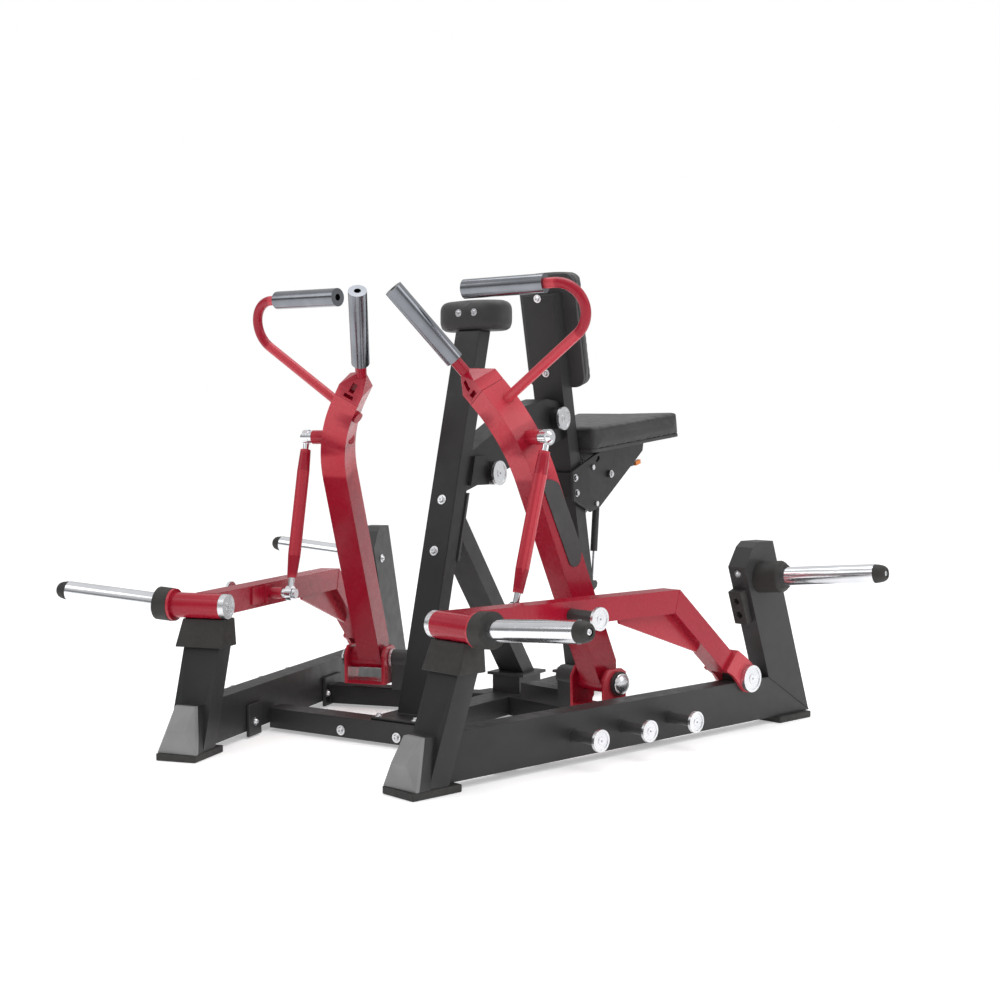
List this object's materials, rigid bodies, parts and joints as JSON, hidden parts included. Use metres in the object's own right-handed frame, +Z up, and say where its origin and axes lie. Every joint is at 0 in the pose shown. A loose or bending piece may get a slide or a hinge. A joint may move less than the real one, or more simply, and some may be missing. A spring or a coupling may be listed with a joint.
{
  "type": "chest-supported row machine",
  "caption": "Plate-loaded seated rowing machine with a splayed base, a chest pad, a sliding seat and a separate linked lever arm for each hand.",
  "frame": {"origin": "on the floor at the middle of the machine's outline", "axes": "+X to the machine's right across the mirror plane, +Y from the toe boots at the front to the seat at the rear, +Z up"},
  "size_m": [2.0788, 1.7166, 1.2775],
  "materials": {
    "frame_black": "satin powder coat",
    "red": "gloss",
    "rubber": "matte",
    "grey_plastic": "satin",
    "black_plastic": "matte",
    "orange_plastic": "gloss",
    "bright_steel": "brushed",
    "chrome": "polished",
    "grip": "gloss",
    "vinyl": "satin"
  },
  "bodies": {
    "frame_body": {"right_side_frame": "frame_black", "left_side_frame": "frame_black", "front_crossbeam": "frame_black", "spine": "frame_black", "arm_beams": "frame_black", "front_mast": "frame_black", "mast_brace": "frame_black", "boom": "frame_black", "rear_mast": "frame_black", "pivot_blocks": "frame_black", "pivot_axles": "bright_steel", "foot_pads": "rubber", "toe_boots": "grey_plastic", "rubber_stops": "rubber", "frame_discs": "bright_steel", "band_pegs": "frame_black", "frame_bolts": "bright_steel", "storage_sleeves": "chrome", "storage_collars": "rubber", "storage_caps": "rubber", "hand_rest": "vinyl", "chest_pad": "vinyl", "seat_rail": "frame_black"},
    "right_arm_body": {"right_arm": "red", "right_arm_head": "red", "right_main_grip": "grip", "right_side_handle": "red", "right_side_grip": "grip", "right_badge": "black_plastic"},
    "right_lever_body": {"right_lever": "red", "right_lever_fittings": "bright_steel", "right_lever_peg": "frame_black", "right_horn_sleeve": "chrome", "right_horn_collar": "rubber", "right_horn_cap": "rubber"},
    "right_link_body": {"right_link_tube": "red", "right_link_ends": "chrome"},
    "left_arm_body": {"left_arm": "red", "left_arm_head": "red", "left_main_grip": "grip", "left_side_handle": "red", "left_side_grip": "grip", "left_badge": "black_plastic"},
    "left_lever_body": {"left_lever": "red", "left_lever_fittings": "bright_steel", "left_lever_peg": "frame_black", "left_horn_sleeve": "chrome", "left_horn_collar": "rubber", "left_horn_cap": "rubber"},
    "left_link_body": {"left_link_tube": "red", "left_link_ends": "chrome"},
    "seat_body": {"seat_carriage": "frame_black", "seat_cushion": "vinyl"},
    "strut_rod_body": {"strut_rod": "chrome"},
    "strut_cylinder_body": {"strut_body": "frame_black"},
    "upper_roller_body": {"upper_roller": "bright_steel"},
    "lower_roller_body": {"lower_roller": "bright_steel"},
    "release_body": {"release_lever": "frame_black", "release_tip": "orange_plastic"},
    "latch_body": {"latch_pin": "bright_steel"}
  },
  "joints": [
    {"name": "right_arm_pull", "type": "hinge", "parent": "frame_body", "child": "right_arm_body", "pos_m": [0.37312, -0.00724, 0.148], "axis": [-0.9673, 0.2538, 0], "range_deg": [0, 28]},
    {"name": "right_lever_lift", "type": "hinge", "parent": "frame_body", "child": "right_lever_body", "pos_m": [0.63548, 0.29922, 0.139], "axis": [-0.9673, 0.2538, 0], "range_deg": [0, 17]},
    {"name": "right_link_swing", "type": "hinge", "parent": "right_lever_body", "child": "right_link_body", "pos_m": [0.3582, -0.39515, 0.371], "axis": [-0.9673, 0.2538, 0], "range_deg": [0, 21]},
    {"name": "left_arm_pull", "type": "hinge", "parent": "frame_body", "child": "left_arm_body", "pos_m": [-0.37312, -0.00724, 0.148], "axis": [-0.9673, -0.2538, 0], "range_deg": [0, 28]},
    {"name": "left_lever_lift", "type": "hinge", "parent": "frame_body", "child": "left_lever_body", "pos_m": [-0.63548, 0.29922, 0.139], "axis": [-0.9673, -0.2538, 0], "range_deg": [0, 17]},
    {"name": "left_link_swing", "type": "hinge", "parent": "left_lever_body", "child": "left_link_body", "pos_m": [-0.3582, -0.39515, 0.371], "axis": [-0.9673, -0.2538, 0], "range_deg": [0, 21]},
    {"name": "seat_height", "type": "slide", "parent": "frame_body", "child": "seat_body", "axis": [0, -0.2198, 0.9755], "range_m": [-0.06, 0.06]},
    {"name": "upper_roller_spin", "type": "hinge", "parent": "seat_body", "child": "upper_roller_body", "pos_m": [0, 0.50972, 0.69826], "axis": [1, 0, 0], "range_deg": [-99, 99]},
    {"name": "lower_roller_spin", "type": "hinge", "parent": "seat_body", "child": "lower_roller_body", "pos_m": [0, 0.53479, 0.58705], "axis": [1, 0, 0], "range_deg": [-99, 99]},
    {"name": "release_lift", "type": "hinge", "parent": "seat_body", "child": "release_body", "pos_m": [0.05, 0.61517, 0.6759], "axis": [1, 0, 0], "range_deg": [-6, 0]},
    {"name": "latch_slide", "type": "slide", "parent": "seat_body", "child": "latch_body", "axis": [0, -0.9755, -0.2198], "range_m": [0, 0.0106]},
    {"name": "strut_swing", "type": "hinge", "parent": "frame_body", "child": "strut_rod_body", "pos_m": [0.034, 0.56412, 0.33842], "axis": [1, 0, 0], "range_deg": [-4, 4]},
    {"name": "strut_extend", "type": "slide", "parent": "strut_rod_body", "child": "strut_cylinder_body", "axis": [0, 0.0999, 0.995], "range_m": [-0.058, 0.058]}
  ],
  "couplings": [
    {"joint": "right_lever_lift", "follows": "right_arm_pull", "ratio": 0.5913},
    {"joint": "right_link_swing", "follows": "right_arm_pull", "ratio": 0.7332},
    {"joint": "left_lever_lift", "follows": "left_arm_pull", "ratio": 0.5913},
    {"joint": "left_link_swing", "follows": "left_arm_pull", "ratio": 0.7332},
    {"joint": "upper_roller_spin", "follows": "seat_height", "rad_per_m": 28.571},
    {"joint": "lower_roller_spin", "follows": "seat_height", "rad_per_m": 28.571},
    {"joint": "strut_swing", "follows": "seat_height", "rad_per_m": 1.108},
    {"joint": "strut_extend", "follows": "seat_height", "ratio": 0.9446},
    {"joint": "latch_slide", "follows": "release_lift", "m_per_rad": -0.1}
  ]
}
